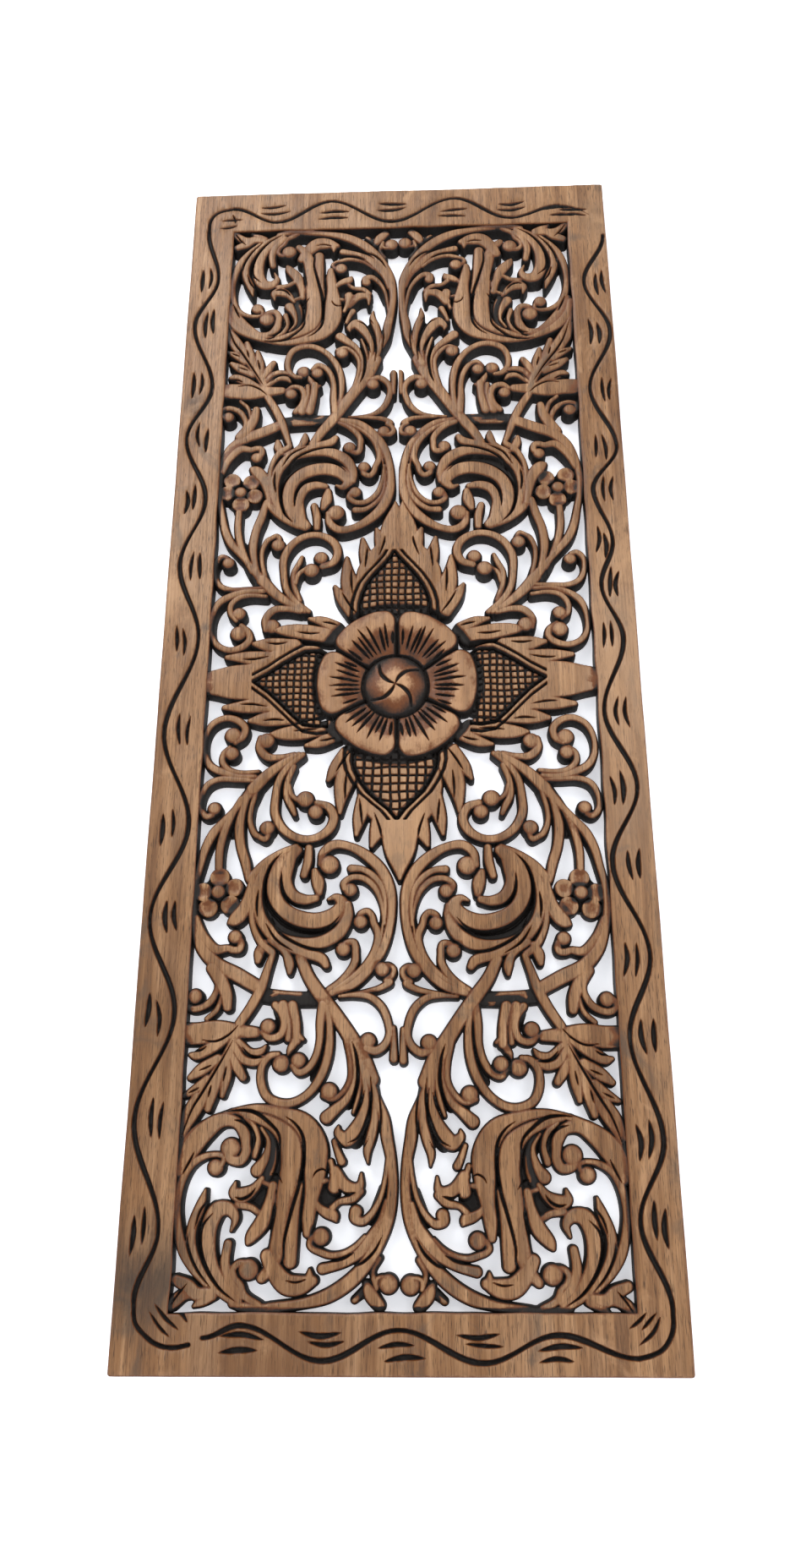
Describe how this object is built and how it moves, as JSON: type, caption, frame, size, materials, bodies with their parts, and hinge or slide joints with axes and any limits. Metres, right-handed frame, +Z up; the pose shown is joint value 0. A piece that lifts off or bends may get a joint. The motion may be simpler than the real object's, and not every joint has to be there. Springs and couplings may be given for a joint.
{
  "type": "carved wall panel",
  "caption": "Upright rectangular wooden wall panel, carved and pierced with a flower, lotus buds and mirrored leafy scrolls inside a plain frame with a wavy groove; hangs flat.",
  "frame": {"origin": "centre of the flat back, behind the flower, where the panel lies against the wall", "axes": "+X to the right as seen from the front, +Z up, +Y into the wall; the carved front faces -Y"},
  "size_m": [0.343, 0.0127, 0.902],
  "materials": {
    "stained_teak": "satin"
  },
  "bodies": {
    "root": {"carved_panel": "stained_teak"}
  },
  "joints": []
}
